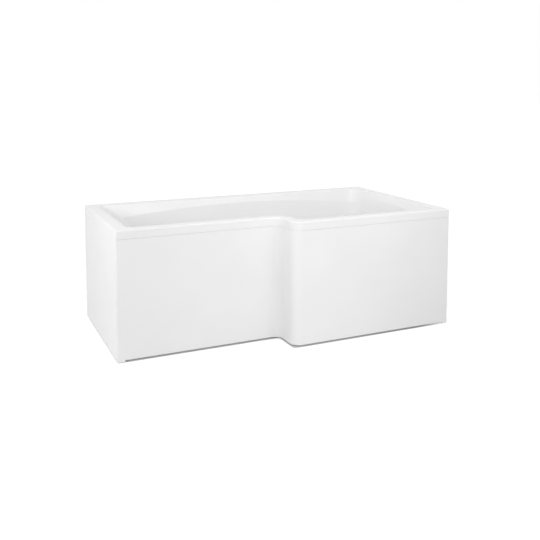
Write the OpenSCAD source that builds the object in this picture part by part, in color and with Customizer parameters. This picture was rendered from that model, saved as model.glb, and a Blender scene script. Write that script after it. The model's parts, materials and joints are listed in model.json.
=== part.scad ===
// Shower bath with a stepped front: a moulded tub on adjustable feet, with a
// front panel, an end panel, a push waste, an overflow and a trap.
// Millimetres. +X runs along the bath to its shower end, -Y is the front, +Z is up.
// The origin is on the floor, at the middle of the whole plan.

/* [Overall size] */
// Length along the wall
length = 1600; // [1560:10:1660]
// Width of the shower end
wide_w = 850; // [840:5:860]
// How far the shower end stands out in front of the bathing end
step_d = 150; // [145:1:160]
// Height from the floor to the top of the rim
height = 570; // [565:1:580]
// Length of the shower end, from its end wall to the step
shower_len = 845; // [830:5:860]

/* [Rim] */
// Height of the rim's outer face
skirt_h = 40; // [38:0.5:42]
// Thickness of the rim
skin_t = 5; // [4.5:0.1:5.5]
// Radius of the rim's top edge
edge_r = 6; // [5.5:0.5:6.5]
// Radius of the rim's outer corners
corner_r = 8; // [7.5:0.5:9]
// Radius of the two curves of the step, as a share of the step's depth
step_r_share = 0.287; // [0.26:0.001:0.3]
// Width of the flat deck of the rim
deck_w = 42; // [41:0.5:44]
// Radius of the lip where the deck turns down into the well
lip_r = 14; // [13:0.5:16]
// Reach of the wider lip at the bathing end
end_lip_r = 28; // [26:1:30]
// Radius of the deck's inner corners
lip_corner_r = 36; // [34:1:40]

/* [Well] */
// Depth of the well below the rim
well_depth = 390; // [385:1:392]
// Depth of the moulded crease at the middle of each side
crease_depth = 33; // [30:1:36]
// How much lower the arched crease would be at the corners of the plan
crease_sag = 57; // [50:1:60]
// Inset of the crease from the rim's edge
crease_in = 66; // [64:0.5:68]
// Inset of the crease at the middle of the bathing end, below its wide slope
end_crease_in = 102; // [98:1:106]
// How far the crease of the bathing end bows in towards its corners
end_crease_bow = 68; // [60:1:76]
// Inset of the flat floor from the rim's edge
floor_in = 145; // [142:1:148]
// Inset of the flat floor at the bathing end, below the sloping backrest
end_floor_in = 370; // [360:5:380]
// Corner radius of the crease
crease_r = 76; // [70:1:76]
// Corner radius of the crease at the bathing end
end_crease_r = 36; // [34:1:44]
// Corner radius of the floor
floor_r = 98; // [92:1:100]
// Corner radius of the floor at the bathing end, as a share of the floor's width
end_floor_r_share = 0.4; // [0.36:0.01:0.42]
// Fall of the floor along the bath to the waste
floor_fall = 10; // [6:1:12]
// Thickness of the laminated wall
wall_t = 6; // [5.5:0.1:6.5]
// Thickness of the laminated floor at the waste
floor_t = 12; // [11:0.5:12.5]

/* [Panels] */
// Thickness of the panels
panel_t = 4; // [3.5:0.1:4.5]
// Seam between the rim and the front panel
front_seam = 0.7; // [0.5:0.1:1.2]
// Seams round the end panel
end_seam = 0.5; // [0.4:0.1:0.8]
// Gap under the front panel
front_gap = 9; // [7:0.5:10]
// Gap under the end panel and under the front panel's two ends
end_gap = 1.5; // [1:0.1:2]
// Length of the front panel's ends that reach down to the floor
toe_w = 32; // [28:1:36]
// Depth of the panels' flanges
flange_w = 24; // [22:0.5:25]
// Height of the upstand that tucks up behind the rim
upstand_h = 22; // [18:1:24]

/* [Timber] */
// Width of the battens under the rim
rim_batten_w = 22; // [20:0.5:23]
// Height of the battens under the rim
rim_batten_h = 30; // [28:0.5:31]
// Width of the floor battens
floor_batten_w = 25; // [22:0.5:26]
// Height of the floor battens
floor_batten_h = 38; // [34:1:42]
// Thickness of the base board
board_t = 15; // [14:0.5:16]
// Inset of the base board from the edge of the flat floor
board_in = 22; // [20:1:26]

/* [Feet] */
// Width of a bearer
bearer_w = 40; // [38:1:44]
// Height of a bearer
bearer_h = 25; // [24:1:27]
// Thickness of the bearer's steel
bearer_t = 2; // [1.5:0.1:2.5]
// Diameter of the foot studs
stud_d = 10; // [9:0.5:11]
// Distance of the outer feet from the rim's edge
foot_in = 84; // [82:1:88]
// Diameter of a foot pad
pad_d = 46; // [42:1:48]
// Height of a foot pad
pad_h = 20; // [18:1:22]

/* [Waste] */
// Distance of the waste from the end wall
waste_in = 210; // [206:1:214]
// Diameter of the waste flange
flange_d = 70; // [68:1:74]
// Diameter of the hole in the floor
waste_hole_d = 52; // [50:0.5:54]
// Diameter of the plug
plug_d = 60; // [58:1:62]

/* [Overflow and trap] */
// Diameter of the overflow's face
face_d = 64; // [60:1:66]
// Outer diameter of the overflow hose
hose_d = 30; // [29:0.5:31]
// Spacing of the hose's ribs
rib_pitch = 8; // [7:0.5:10]
// Radius of the hose's bend
hose_bend_r = 60; // [54:1:62]
// Bore of the trap's outlet, for the waste pipe
outlet_d = 43.4; // [43:0.1:44]
// Radius of the trap's bends
bend_r = 29; // [28:0.5:30]

/* [Hidden] */

$fn = 48;
// Overrun of every cutting tool
over = 1;
// Clearance of pieces that only lie near each other
near_gap = 0.3;
// Radial clearance of pieces that fit into each other
slide_gap = 0.05;
// Smallest radius that a corner takes
sharp_r = 1.5;

// Places that the whole plan follows
back_y = wide_w / 2;
wide_y = -wide_w / 2;
narrow_w = wide_w - step_d;
narrow_y = back_y - narrow_w;
left_x = -length / 2;
right_x = length / 2;
step_x = right_x - shower_len;
mid_y = back_y - narrow_w / 2;
waste_x = right_x - waste_in;
floor_z = height - well_depth;
under_z = floor_z - floor_t;
board_z = under_z - board_t;
skirt_z = height - skirt_h;
batten_z = height - skin_t - rim_batten_h;

// Segments of each corner arc, and points along the straight run after each corner
arc_steps = 6;
run_steps = [6, 0, 6, 7, 13, 7];

// Shape of the walls below the crease, as shares of their depth and of their inset
depth_shares = [0.16, 0.4, 0.64, 0.83, 0.92, 0.975, 1];
wall_shares = [0.04, 0.14, 0.25, 0.39, 0.56, 0.77, 1];
backrest_shares = [0.14, 0.37, 0.61, 0.8, 0.89, 0.95, 1];
// Angles through which the lip and the rim's top edge are rounded
lip_angles = [0, 18, 36, 52];
edge_angles = [0, 30, 60, 90];
// Share of the change of corner radius that the lip takes up
lip_share = 0.4;
// Radii of the step's inner and outer curve at the crease and at the floor, as
// shares of the step's depth
crease_step_shares = [0.467, 0.506];
floor_step_shares = [0.3, 0.653];
// How far the deck's underside stops short of the lip
under_lip = 2;

// Screws, studs and nuts
screw_d = 4;
screw_head_d = 8;
screw_head_h = 2.5;
screw_l = 13;
nut_d = 19;
nut_h = 8;
stud_rise = 26;
centre_stud_rise = 12;
pad_web = 4;
pad_lip_h = 6;
pad_neck_d = 26;
// Overhang of the bearers past the feet, and place of their screws
bearer_over = 26;
bath_bearer_share = -0.22;
shower_bearer_share = 0.29;
centre_share = 0.03;
screw_shares = [-0.36, -0.12, 0.12, 0.36];
hat_l = 90;
hat_flange = 22;

// Clips and brackets under the rim
clip_w = 30;
clip_t = 2;
clip_drop = 20;
clip_front_shares = [-0.375, -0.17];
clip_shower_shares = [0.1, 0.375];
bracket_w = 34;
bracket_drop = 50;
bracket_hole_d = 5;
bracket_hole_gap = 24;
bracket_shares = [-0.28, 0.28];
end_bracket_share = -0.25;
corner_in = 40;
step_clear = 60;

// Waste, from the floor down
recess_d = 76;
recess_h = 3;
seal_t = 1.5;
flange_t = 2.5;
neck_d = 44;
neck_bore = 38;
neck_l = 34;
hub_d = 22;
spoke_t = 4;
spoke_h = 8;
cartridge_d = 16;
cartridge_l = 26;
collar_d = 20;
collar_h = 1.5;
stem_d = 8;
stem_l = 20;
plug_t = 5;
plug_seal_t = 2.5;
plug_seal_d = 54;
plug_seal_bore = 24;
body_seal_t = 3;
body_flange_d = 76;
body_flange_t = 6;
body_d = 54;
body_bore = 40;
body_l = 56;
inlet_drop = 38;
outlet_tube_d = 40;
outlet_tube_bore = 34;
outlet_tube_l = 28;
board_hole_d = 96;

// Overflow
boss_d = 76;
boss_t = 9;
overflow_d = 40;
// How far down the overflow sits from the wall's first ring to its second
overflow_share = 0.53;
spot_in = 3.8;
face_t = 3;
face_l = 11;
face_wall = 3;
overflow_seal_t = 3;
elbow_flange_t = 4;
elbow_l = 34;
elbow_post_d = 11;
elbow_wall = 3;
spigot_in = 17;
spigot_d = 22;
spigot_bore = 17;
spigot_l = 14;
spigot_drop = 36;
overflow_screw_d = 5;
overflow_head_d = 11;
overflow_head_t = 2;
hose_nut_d = 38;
hose_nut_l = 14;
hose_sides = 8;
hose_wall = 1.1;
rib_h = 1.7;

// Trap
pipe_d = 42;
pipe_bore = 36;
socket_d = 50;
socket_l = 16;
socket_seat = 14;
trap_seal_t = 3;
nut_wall = 5;
trap_nut_l = 20;
nut_lip = 5;
riser_l = 16;
outlet_socket_d = 52;
outlet_socket_l = 24;
outlet_seat = 4;

acrylic = [0.95, 0.95, 0.95];
timber = [0.80, 0.66, 0.45];
chipboard = [0.72, 0.60, 0.43];
zinc = [0.72, 0.74, 0.76];
chrome = [0.83, 0.84, 0.86];
white_plastic = [0.90, 0.90, 0.89];
rubber = [0.08, 0.08, 0.09];
grey_plastic = [0.35, 0.36, 0.38];

function lerp(a, b, t) = a + (b - a) * t;
function same(v) = [v, v, v, v];
// Insets at the bathing end, the back, the shower end and the front
function sides(end_in, side_in) = [end_in, side_in, side_in, side_in];
// Radii of the two corners at the bathing end, of the step's inner and outer curve
// and of the two corners at the shower end, from the front left corner round
function corners(end, inner, outer, side) = [end, inner, outer, side, side, end];

function arc(c, r, a0, a1) =
  [for (i = [0:arc_steps]) let (a = lerp(a0, a1, i / arc_steps)) c + r * [cos(a), sin(a)]];
function between(p, q, n) = n > 0 ? [for (i = [1:n]) lerp(p, q, i / (n + 1))] : [];

// Outline of the stepped plan, inset on each side
function outline(inset, radii) =
  let (
    xl = left_x + inset[0],
    yb = back_y - inset[1],
    xr = right_x - inset[2],
    xs = step_x + inset[3],
    yn = narrow_y + inset[3],
    yw = wide_y + inset[3],
    r = radii,
    arcs = [
      arc([xl + r[0], yn + r[0]], r[0], 180, 270),
      arc([xs - r[1], yn - r[1]], r[1], 90, 0),
      arc([xs + r[2], yw + r[2]], r[2], 180, 270),
      arc([xr - r[3], yw + r[3]], r[3], 270, 360),
      arc([xr - r[4], yb - r[4]], r[4], 0, 90),
      arc([xl + r[5], yb - r[5]], r[5], 90, 180)])
  [for (i = [0:5]) each
    concat(arcs[i], between(arcs[i][arc_steps], arcs[(i + 1) % 6][0], run_steps[i]))];

// Share of the crease's arch at a point of the plan: 0 along the middles of the
// bath, about 1 at the corners
function arch(p) =
  pow(p[0] / right_x, 2) * pow(p[0] < step_x ? (p[1] - mid_y) / (narrow_w / 2 - crease_in)
    : p[1] / (wide_w / 2 - crease_in), 2);

// The same outline at a height, dropping towards the corners by sag, falling to the
// waste by fall and, at the bathing end, its corners drawn in by bow
function ring(inset, radii, z, sag = 0, fall = 0, bow = 0) =
  [for (p = outline(inset, radii)) let (q = [p[0] + (p[0] < 0 ? bow * arch(p) : 0), p[1]])
    [q[0], q[1], level(q, z, sag, fall)]];
function level(p, z, sag, fall) = z - sag * arch(p) + fall * (waste_x - p[0]) / length;

step_r = step_r_share * step_d;
function plan_radii(d) =
  let (r = max(corner_r - d, sharp_r)) corners(r, step_r + d, max(step_r - d, sharp_r), r);
function plan(d) = outline(same(d), plan_radii(d));

end_floor_r = end_floor_r_share * (narrow_w - 2 * floor_in);
deck_radii = corners(lip_corner_r, step_r + deck_w, lip_corner_r, lip_corner_r);
crease_radii = corners(end_crease_r, crease_step_shares[0] * step_d, crease_step_shares[1] * step_d,
  crease_r);
floor_radii = corners(end_floor_r, floor_step_shares[0] * step_d, floor_step_shares[1] * step_d,
  floor_r);
// Change of the radii where a ring moves out by one
grow_radii = corners(1, -1, 1, 1);

function edge_ring(a) =
  let (d = edge_r * (1 - cos(a))) ring(same(d), plan_radii(d), height - edge_r * (1 - sin(a)));
function lip_ring(a) =
  ring(sides(deck_w + end_lip_r * sin(a), deck_w + lip_r * sin(a)),
    lerp(deck_radii, crease_radii, lip_share * a / lip_angles[3]), height - lip_r * (1 - cos(a)));
crease_ring = ring(sides(end_crease_in, crease_in), crease_radii, height - crease_depth, crease_sag,
  bow = end_crease_bow);

// Ring of the wall below the crease. out moves it to the underside of the laminate,
// where the wall's thickness goes over into the floor's.
function wall_ring(i, out = 0) =
  let (
    s = depth_shares[i],
    thick = pow(s, 4),
    d = out * wall_t * (1 - thick),
    r = lerp(crease_radii, floor_radii, wall_shares[i]) + d * grow_radii,
    z = height - lerp(crease_depth, well_depth, s) - out * floor_t * thick)
  ring(sides(lerp(end_crease_in, end_floor_in, backrest_shares[i]) - d,
    lerp(crease_in, floor_in, wall_shares[i]) - d), r, z, crease_sag * (1 - s),
    (1 - out) * floor_fall * s, end_crease_bow * (1 - s));

// Solid between rings, closed by a fan from c0 to the first and from c1 to the last
module loft(rings, c0, c1) {
  n = len(rings[0]);
  m = len(rings);
  points = concat([for (r = rings) each r], [c0, c1]);
  walls = [for (k = [0:m - 2], i = [0:n - 1]) let (j = (i + 1) % n)
    each [[k * n + i, k * n + j, (k + 1) * n + j], [k * n + i, (k + 1) * n + j, (k + 1) * n + i]]];
  ends = [for (i = [0:n - 1]) let (j = (i + 1) % n)
    each [[m * n, j, i], [m * n + 1, (m - 1) * n + i, (m - 1) * n + j]]];
  polyhedron(points = points, faces = concat(walls, ends));
}

// Cylinder with a bore through it
module tube(d, bore, h) {
  difference() {
    cylinder(d = d, h = h);
    translate([0, 0, -over]) cylinder(d = bore, h = h + 2 * over);
  }
}

module block(from, to) {
  translate(from) cube(to - from);
}

module bath_shell() {
  last = len(depth_shares) - 1;
  cap_x = (step_x + right_x) / 2;
  color(acrylic)
  difference() {
    union() {
      loft(concat(
        [for (i = [last:-1:0]) wall_ring(i)],
        [crease_ring],
        [for (i = [3:-1:0]) lip_ring(lip_angles[i])],
        [for (i = [3:-1:0]) edge_ring(edge_angles[i])],
        [ring(same(0), plan_radii(0), skirt_z)],
        [ring(same(skin_t), plan_radii(skin_t), skirt_z)],
        [ring(same(skin_t), plan_radii(skin_t), height - skin_t)],
        [ring(same(deck_w - under_lip), deck_radii + under_lip * grow_radii, height - skin_t)],
        [ring(sides(end_crease_in, crease_in) - same(wall_t), crease_radii + wall_t * grow_radii,
          height - crease_depth, crease_sag, bow = end_crease_bow)],
        [for (i = [0:last]) wall_ring(i, 1)]),
        [cap_x, mid_y, level([cap_x, mid_y], floor_z, 0, floor_fall)],
        [cap_x, mid_y, under_z]);
      overflow_at(0) cylinder(d = boss_d, h = boss_t);
    }
    translate([waste_x, mid_y, floor_z - recess_h]) cylinder(d = recess_d, h = recess_h + floor_t);
    translate([waste_x, mid_y, under_z - over]) cylinder(d = waste_hole_d, h = floor_t + over);
    overflow_at(-boss_t) cylinder(d = boss_d, h = boss_t);
    overflow_at(-over) cylinder(d = overflow_d, h = boss_t + 2 * over);
  }
}

// Centre and wall face of the overflow, in the shower end's wall
overflow_in_share = lerp(wall_shares[0], wall_shares[1], overflow_share);
overflow_depth_share = lerp(depth_shares[0], depth_shares[1], overflow_share);
overflow_x = right_x - lerp(crease_in, floor_in, overflow_in_share) + spot_in;
overflow_z = level([overflow_x, mid_y], height - lerp(crease_depth, well_depth, overflow_depth_share),
  crease_sag * (1 - overflow_depth_share), 0);

// Turns a part about the overflow's axis: its +Z runs out through the wall
module overflow_at(z) {
  translate([overflow_x + z, mid_y, overflow_z]) rotate([0, 90, 0]) children();
}

board_inset = sides(end_floor_in, floor_in) + same(board_in);
module base_board() {
  color(chipboard)
  difference() {
    translate([0, 0, board_z]) linear_extrude(board_t) polygon(outline(board_inset, floor_radii));
    translate([waste_x, mid_y, board_z - over]) cylinder(d = board_hole_d, h = board_t + 2 * over);
    bearer_screw_places() screw_hole();
  }
}

// Screw that points up, its head below the face that it holds
module screw() {
  translate([0, 0, -screw_head_h]) cylinder(d = screw_head_d, h = screw_head_h);
  cylinder(d = screw_d, h = screw_l);
}

module screw_hole() {
  translate([0, 0, -screw_l]) cylinder(d = screw_d + 2 * slide_gap, h = 2 * screw_l + near_gap);
}

bath_bearer_x = bath_bearer_share * length;
shower_bearer_x = shower_bearer_share * length;
centre_x = centre_share * length;
bearer_z = board_z - bearer_h;
board_w = narrow_w - 2 * (floor_in + board_in);

module bearer_screw_places() {
  for (x = [bath_bearer_x, shower_bearer_x], s = screw_shares)
    translate([x, mid_y + s * board_w, board_z - bearer_t]) children();
  for (x = [-1, 1], s = [-1, 1])
    translate([centre_x + s * (bearer_w / 2 + hat_flange / 2), mid_y + x * hat_l / 3,
      board_z - bearer_t]) children();
}

module bearer_screws() {
  color(zinc) bearer_screw_places() screw();
}

// Downward channel under the board, from one foot to the other
module bearer(x, y0, y1) {
  color(zinc)
  difference() {
    block([x - bearer_w / 2, y0 - bearer_over, bearer_z], [x + bearer_w / 2, y1 + bearer_over, board_z]);
    block([x - bearer_w / 2 + bearer_t, y0 - bearer_over - over, bearer_z - over],
      [x + bearer_w / 2 - bearer_t, y1 + bearer_over + over, board_z - bearer_t]);
    for (y = [y0, y1]) translate([x, y, bearer_z]) cylinder(d = stud_d + 2 * slide_gap, h = bearer_h + over);
    bearer_screw_places() screw_hole();
  }
}

module bath_end_bearer() bearer(bath_bearer_x, narrow_y + foot_in, back_y - foot_in);
module shower_end_bearer() bearer(shower_bearer_x, wide_y + foot_in, back_y - foot_in);

// Hat section under the board, with the centre foot in its web
module centre_foot_bracket() {
  color(zinc)
  difference() {
    translate([centre_x, mid_y + hat_l / 2, bearer_z]) rotate([90, 0, 0]) linear_extrude(hat_l)
      hat_profile();
    translate([centre_x, mid_y, bearer_z - over])
      cylinder(d = stud_d + 2 * slide_gap, h = bearer_t + 2 * over);
    bearer_screw_places() screw_hole();
  }
}

module hat_profile() {
  half = bearer_w / 2;
  difference() {
    union() {
      translate([-half, 0]) square([bearer_w, bearer_h]);
      translate([-half - hat_flange, bearer_h - bearer_t]) square([bearer_w + 2 * hat_flange, bearer_t]);
    }
    translate([-half + bearer_t, bearer_t]) square([bearer_w - 2 * bearer_t, bearer_h]);
  }
}

// Outer feet, each [x, y]
outer_feet = [[bath_bearer_x, narrow_y + foot_in], [bath_bearer_x, back_y - foot_in],
  [shower_bearer_x, wide_y + foot_in], [shower_bearer_x, back_y - foot_in]];

module nut() {
  difference() {
    cylinder(d = nut_d, h = nut_h, $fn = 6);
    translate([0, 0, -over]) cylinder(d = stud_d + 2 * slide_gap, h = nut_h + 2 * over);
  }
}

module foot_nuts() {
  color(zinc) {
    for (p = outer_feet, z = [board_z, board_z - bearer_t - nut_h]) translate([p[0], p[1], z]) nut();
    for (z = [bearer_z + bearer_t, bearer_z - nut_h]) translate([centre_x, mid_y, z]) nut();
  }
}

module stud(x, y, top) {
  color(zinc) translate([x, y, pad_web]) cylinder(d = stud_d, h = top - pad_web);
}

module pad(x, y) {
  bore_r = stud_d / 2 + slide_gap;
  color(grey_plastic) translate([x, y, 0]) rotate_extrude() polygon([
    [0, 0], [pad_d / 2, 0], [pad_d / 2, pad_lip_h], [pad_neck_d / 2, pad_h],
    [bore_r, pad_h], [bore_r, pad_web], [0, pad_web]]);
}

module bath_front_stud() stud(bath_bearer_x, narrow_y + foot_in, board_z + stud_rise);
module bath_front_pad() pad(bath_bearer_x, narrow_y + foot_in);
module bath_back_stud() stud(bath_bearer_x, back_y - foot_in, board_z + stud_rise);
module bath_back_pad() pad(bath_bearer_x, back_y - foot_in);
module centre_stud() stud(centre_x, mid_y, bearer_z + centre_stud_rise);
module centre_pad() pad(centre_x, mid_y);
module shower_front_stud() stud(shower_bearer_x, wide_y + foot_in, board_z + stud_rise);
module shower_front_pad() pad(shower_bearer_x, wide_y + foot_in);
module shower_back_stud() stud(shower_bearer_x, back_y - foot_in, board_z + stud_rise);
module shower_back_pad() pad(shower_bearer_x, back_y - foot_in);

// Timber under the rim, behind the panels' upstands
batten_in = skin_t + panel_t + 2 * near_gap;
batten_to = batten_in + rim_batten_w;

module rim_batten(from, to) {
  color(timber)
  difference() {
    block([from[0], from[1], batten_z], [to[0], to[1], height - skin_t]);
    clip_places() rim_screw_hole();
    bracket_places() rim_screw_hole();
  }
}

module bath_side_rim_batten()
  rim_batten([left_x + corner_in, narrow_y + batten_in], [step_x - step_clear, narrow_y + batten_to]);
module shower_side_rim_batten()
  rim_batten([step_x + step_clear, wide_y + batten_in], [right_x - corner_in, wide_y + batten_to]);
module end_panel_rim_batten()
  rim_batten([left_x + batten_in, narrow_y + corner_in], [left_x + batten_to, back_y - corner_in]);
module back_rim_batten()
  rim_batten([left_x + corner_in, back_y - batten_to], [right_x - corner_in, back_y - batten_in]);
module end_wall_rim_batten()
  rim_batten([right_x - batten_to, wide_y + corner_in], [right_x - batten_in, back_y - corner_in]);

// Places round the rim. There +X runs along the edge and +Y inwards from it.
module clip_places() {
  for (s = clip_front_shares) translate([s * length, narrow_y, 0]) children();
  for (s = clip_shower_shares) translate([s * length, wide_y, 0]) children();
  translate([left_x, mid_y, 0]) rotate([0, 0, -90]) children();
}

module bracket_places() {
  for (s = bracket_shares) translate([s * length, back_y, 0]) rotate([0, 0, 180]) children();
  translate([right_x, end_bracket_share * wide_w, 0]) rotate([0, 0, 90]) children();
}

// Middle of the battens, where clips and brackets are screwed up into them
rim_screw_in = batten_in + rim_batten_w / 2;

module rim_screw_hole() {
  translate([0, rim_screw_in, batten_z - clip_t]) screw_hole();
}

module clip() {
  difference() {
    union() {
      block([-clip_w / 2, batten_in, batten_z - clip_t], [clip_w / 2, batten_to, batten_z]);
      block([-clip_w / 2, batten_in, batten_z - clip_drop], [clip_w / 2, batten_in + clip_t, batten_z]);
    }
    rim_screw_hole();
  }
}

module panel_clips() {
  color(white_plastic) clip_places() clip();
}

module panel_clip_screws() {
  color(zinc) clip_places() translate([0, rim_screw_in, batten_z - clip_t]) screw();
}

// Cranked strip that passes under the rim's outer face to the wall
module bracket() {
  t = clip_t;
  top = skirt_z - near_gap;
  crank = skin_t + near_gap;
  difference() {
    translate([bracket_w / 2, 0, 0]) rotate([0, -90, 0]) linear_extrude(bracket_w) polygon([
      [top - bracket_drop, 0], [top - bracket_drop, t], [top - t, t], [top - t, crank + t],
      [batten_z - t, crank + t], [batten_z - t, batten_to], [batten_z, batten_to],
      [batten_z, crank], [top, crank], [top, 0]]);
    rim_screw_hole();
    for (s = [-1, 1]) translate([0, -over, top - t - bracket_drop / 2 + s * bracket_hole_gap / 2])
      rotate([-90, 0, 0]) cylinder(d = bracket_hole_d, h = t + 2 * over);
  }
}

module wall_brackets() {
  color(zinc) bracket_places() bracket();
}

module wall_bracket_screws() {
  color(zinc) bracket_places() translate([0, rim_screw_in, batten_z - clip_t]) screw();
}

// Band of the plan between two insets
module band(from_in, to_in) {
  difference() {
    polygon(plan(from_in));
    polygon(plan(to_in));
  }
}

// The front of the plan, as far back as depth behind each front face
module front_area(depth) {
  translate([left_x - over, wide_y - over])
    square([step_x - left_x + flange_w + over, narrow_y - wide_y + depth + over]);
  translate([step_x, wide_y - over]) square([right_x - step_x + over, depth + over]);
}

module front_band(from_in, to_in, depth, z0, z1) {
  translate([0, 0, z0]) linear_extrude(z1 - z0) intersection() {
    band(from_in, to_in);
    front_area(depth);
  }
}

upstand_in = skin_t + near_gap;
corner_w = corner_r + near_gap;

module front_panel() {
  top = skirt_z - front_seam;
  color(acrylic)
  difference() {
    union() {
      front_band(0, panel_t, corner_w, end_gap, top);
      front_band(0, upstand_in + panel_t, corner_w, top - panel_t, top);
      front_band(upstand_in, upstand_in + panel_t, corner_w, top - panel_t, skirt_z + upstand_h);
      intersection() {
        front_band(sharp_r, flange_w, flange_w, front_gap, front_gap + panel_t);
        block([left_x + panel_t + near_gap, wide_y, 0], [right_x - panel_t, back_y, height]);
      }
      for (p = [[left_x + panel_t + near_gap, narrow_y], [right_x - 2 * panel_t - near_gap, wide_y]])
        block([p[0], p[1] + sharp_r, end_gap], [p[0] + panel_t, p[1] + flange_w, top]);
    }
    block([left_x + toe_w, wide_y - over, 0], [right_x - toe_w, back_y, front_gap]);
  }
}

module end_panel() {
  top = skirt_z - end_seam;
  y0 = narrow_y + corner_w + end_seam;
  y1 = narrow_y + flange_w + end_seam;
  y2 = back_y - near_gap;
  color(acrylic)
  union() {
    block([left_x, y0, end_gap], [left_x + panel_t, y2, top]);
    block([left_x, y1, top - panel_t], [left_x + upstand_in + panel_t, y2, top]);
    block([left_x + upstand_in, y1, top - panel_t],
      [left_x + upstand_in + panel_t, back_y - corner_w, skirt_z + upstand_h]);
    block([left_x, y1, end_gap], [left_x + flange_w, y2, end_gap + panel_t]);
    block([left_x, y2 - panel_t, end_gap], [left_x + flange_w, y2, top]);
  }
}

// Timber on the floor, behind the panels' bottom flanges
floor_batten_in = flange_w + near_gap;
floor_batten_to = floor_batten_in + floor_batten_w;

module floor_batten(from, to) {
  color(timber) block([from[0], from[1], 0], [to[0], to[1], floor_batten_h]);
}

module front_floor_batten()
  floor_batten([left_x + step_clear, narrow_y + floor_batten_in],
    [step_x - corner_in, narrow_y + floor_batten_to]);
module shower_floor_batten()
  floor_batten([step_x + step_clear, wide_y + floor_batten_in],
    [right_x - corner_in, wide_y + floor_batten_to]);
module end_floor_batten()
  floor_batten([left_x + floor_batten_in, narrow_y + step_clear],
    [left_x + floor_batten_to, back_y - corner_in]);

// Heights down the waste
seat_z = floor_z - recess_h;
flange_z = seat_z + seal_t;
flange_top = flange_z + flange_t;
body_top = under_z - body_seal_t;
body_z = body_top - body_l;
inlet_z = body_top - inlet_drop;
tube_z = body_z - outlet_tube_l;
hub_z = flange_top - spoke_h;
neck_z = flange_top - neck_l;

module at_waste(z) {
  translate([waste_x, mid_y, z]) children();
}

module waste_seal() {
  color(rubber) at_waste(seat_z) tube(flange_d - 2 * sharp_r, neck_d + 2 * slide_gap, seal_t);
}

module waste_flange() {
  color(chrome) at_waste(0) {
    difference() {
      union() {
        translate([0, 0, flange_z]) cylinder(d = flange_d, h = flange_t);
        translate([0, 0, neck_z]) cylinder(d = neck_d, h = flange_z - neck_z);
      }
      translate([0, 0, neck_z - over]) cylinder(d = neck_bore, h = neck_l + 2 * over);
    }
    difference() {
      union() {
        translate([0, 0, hub_z - spoke_h]) cylinder(d = hub_d, h = spoke_h);
        for (a = [0, 90]) rotate([0, 0, a]) translate([-neck_bore / 2 - sharp_r, -spoke_t / 2, hub_z - spoke_h])
          cube([neck_bore + 2 * sharp_r, spoke_t, spoke_h]);
      }
      translate([0, 0, hub_z - spoke_h - over])
        cylinder(d = cartridge_d + 2 * slide_gap, h = spoke_h + 2 * over);
    }
  }
}

// Sleeve for the plug's stem, its collar on the hub
module plug_cartridge() {
  color(chrome) at_waste(hub_z)
  difference() {
    union() {
      translate([0, 0, -cartridge_l]) cylinder(d = cartridge_d, h = cartridge_l);
      cylinder(d = collar_d, h = collar_h);
    }
    translate([0, 0, -cartridge_l - over])
      cylinder(d = stem_d + 2 * slide_gap, h = cartridge_l + collar_h + 2 * over);
  }
}

module plug() {
  z = flange_top + slide_gap + plug_seal_t;
  color(chrome) at_waste(0) {
    translate([0, 0, z]) rotate_extrude() polygon([
      [0, 0], [plug_d / 2 - sharp_r, 0], [plug_d / 2, sharp_r], [plug_d / 2, plug_t - 2 * sharp_r],
      [plug_d / 2 - sharp_r, plug_t - sharp_r], [plug_d / 4, plug_t], [0, plug_t]]);
    translate([0, 0, z - stem_l]) cylinder(d = stem_d, h = stem_l);
  }
}

module plug_seal() {
  color(rubber) at_waste(flange_top + slide_gap) tube(plug_seal_d, plug_seal_bore, plug_seal_t);
}

module waste_body_seal() {
  color(rubber) at_waste(body_top) tube(body_flange_d - 2 * sharp_r, waste_hole_d, body_seal_t);
}

module waste_body() {
  color(white_plastic) at_waste(0)
  difference() {
    union() {
      translate([0, 0, body_top - body_flange_t]) cylinder(d = body_flange_d, h = body_flange_t);
      translate([0, 0, body_z]) cylinder(d = body_d, h = body_l - body_flange_t);
      translate([0, 0, tube_z]) cylinder(d = outlet_tube_d, h = outlet_tube_l);
      translate([0, 0, inlet_z]) rotate([0, 90, 0])
        cylinder(d = spigot_d, h = body_d / 2 + 2 * spigot_l);
    }
    translate([0, 0, neck_z - near_gap]) cylinder(d = neck_d + 2 * slide_gap, h = body_l);
    translate([0, 0, body_z + body_flange_t]) cylinder(d = body_bore, h = body_l);
    translate([0, 0, tube_z - over]) cylinder(d = outlet_tube_bore, h = body_l);
    translate([0, 0, inlet_z]) rotate([0, 90, 0]) cylinder(d = spigot_bore, h = body_d + 2 * spigot_l);
  }
}

module overflow_face() {
  color(chrome)
  difference() {
    overflow_at(-face_l) union() {
      cylinder(d = face_d, h = face_t);
      tube(face_d, face_d - 2 * face_wall, face_l);
    }
    overflow_at(-face_l - over) cylinder(d = overflow_screw_d + 2 * slide_gap, h = face_l);
    for (s = [-1, 1]) block(
      [overflow_x - face_l + face_t, mid_y + s * face_d / 4 - face_d / 8, overflow_z - face_d],
      [overflow_x - face_wall, mid_y + s * face_d / 4 + face_d / 8, overflow_z]);
  }
}

module overflow_screw() {
  color(chrome) {
    overflow_at(-face_l - overflow_head_t) cylinder(d = overflow_head_d, h = overflow_head_t);
    overflow_at(-face_l) cylinder(d = overflow_screw_d, h = face_l + boss_t + spigot_in);
  }
}

module overflow_seal() {
  color(rubber) overflow_at(boss_t) tube(face_d, overflow_d, overflow_seal_t);
}

elbow_x = boss_t + overflow_seal_t;
spigot_x = overflow_x + elbow_x + spigot_in;

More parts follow.
